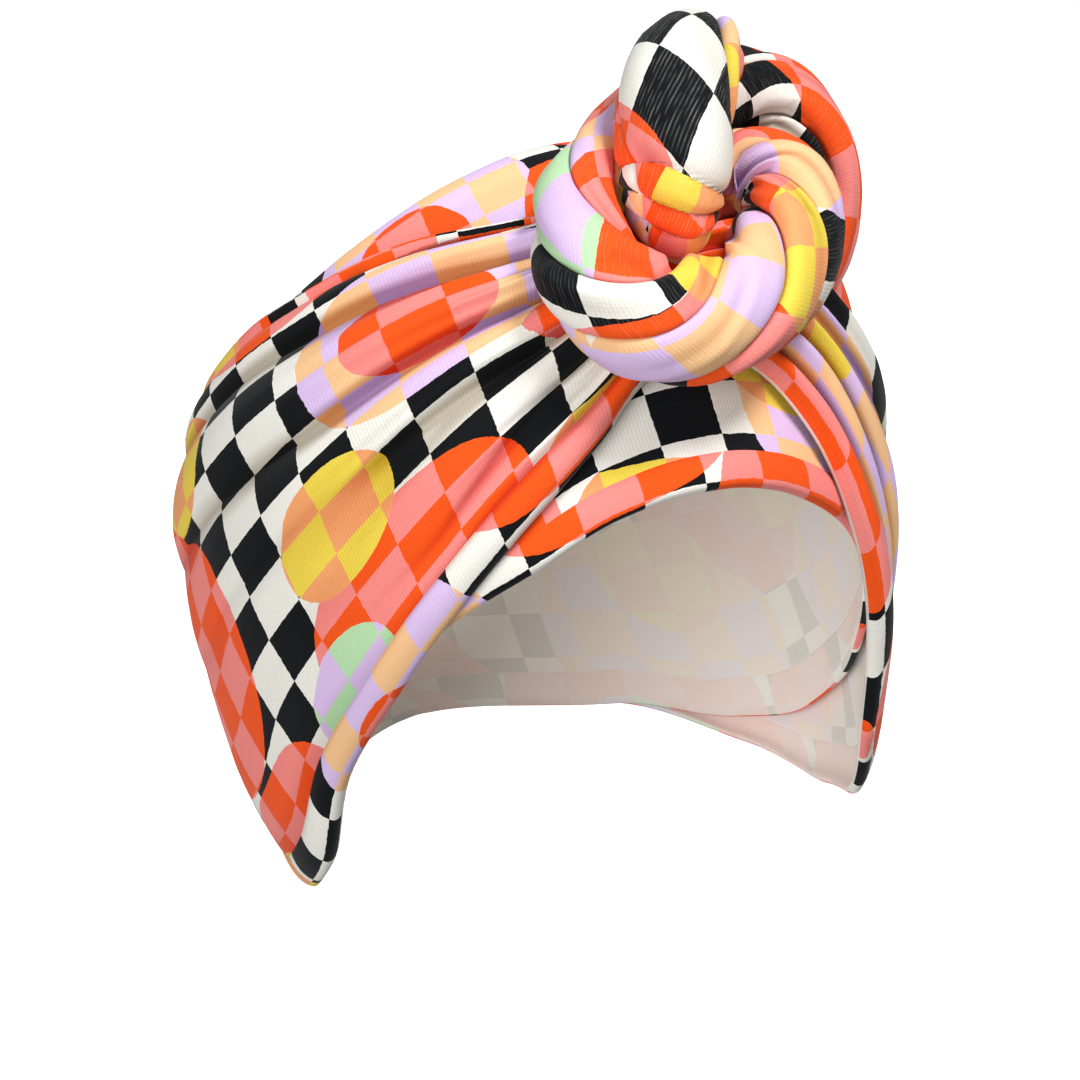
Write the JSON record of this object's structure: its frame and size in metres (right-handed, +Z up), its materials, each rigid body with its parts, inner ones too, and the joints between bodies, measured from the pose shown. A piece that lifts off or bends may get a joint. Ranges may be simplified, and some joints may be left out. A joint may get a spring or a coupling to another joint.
{
  "type": "wrap headband",
  "caption": "Stretchy cloth head wrap in worn form: smooth base band, gathered wrap band and a coiled top knot with a tucked tail.",
  "frame": {"origin": "middle of the wearer's cranium, inside the band's hollow", "axes": "+Z up, the wearer faces -Y, the wearer's right is -X; the head leaves the hollow towards -Z"},
  "size_m": [0.1741, 0.2014, 0.2346],
  "materials": {
    "base_band": "printed cotton jersey, many-coloured checks, matt",
    "wrap_band": "printed cotton jersey, many-coloured checks, matt",
    "knot_coil": "printed cotton jersey, many-coloured checks, matt",
    "knot_tail": "printed cotton jersey, many-coloured checks, matt"
  },
  "bodies": {
    "root": {"base_band": "base_band", "wrap_band": "wrap_band", "knot_coil": "knot_coil", "knot_tail": "knot_tail"}
  },
  "joints": []
}
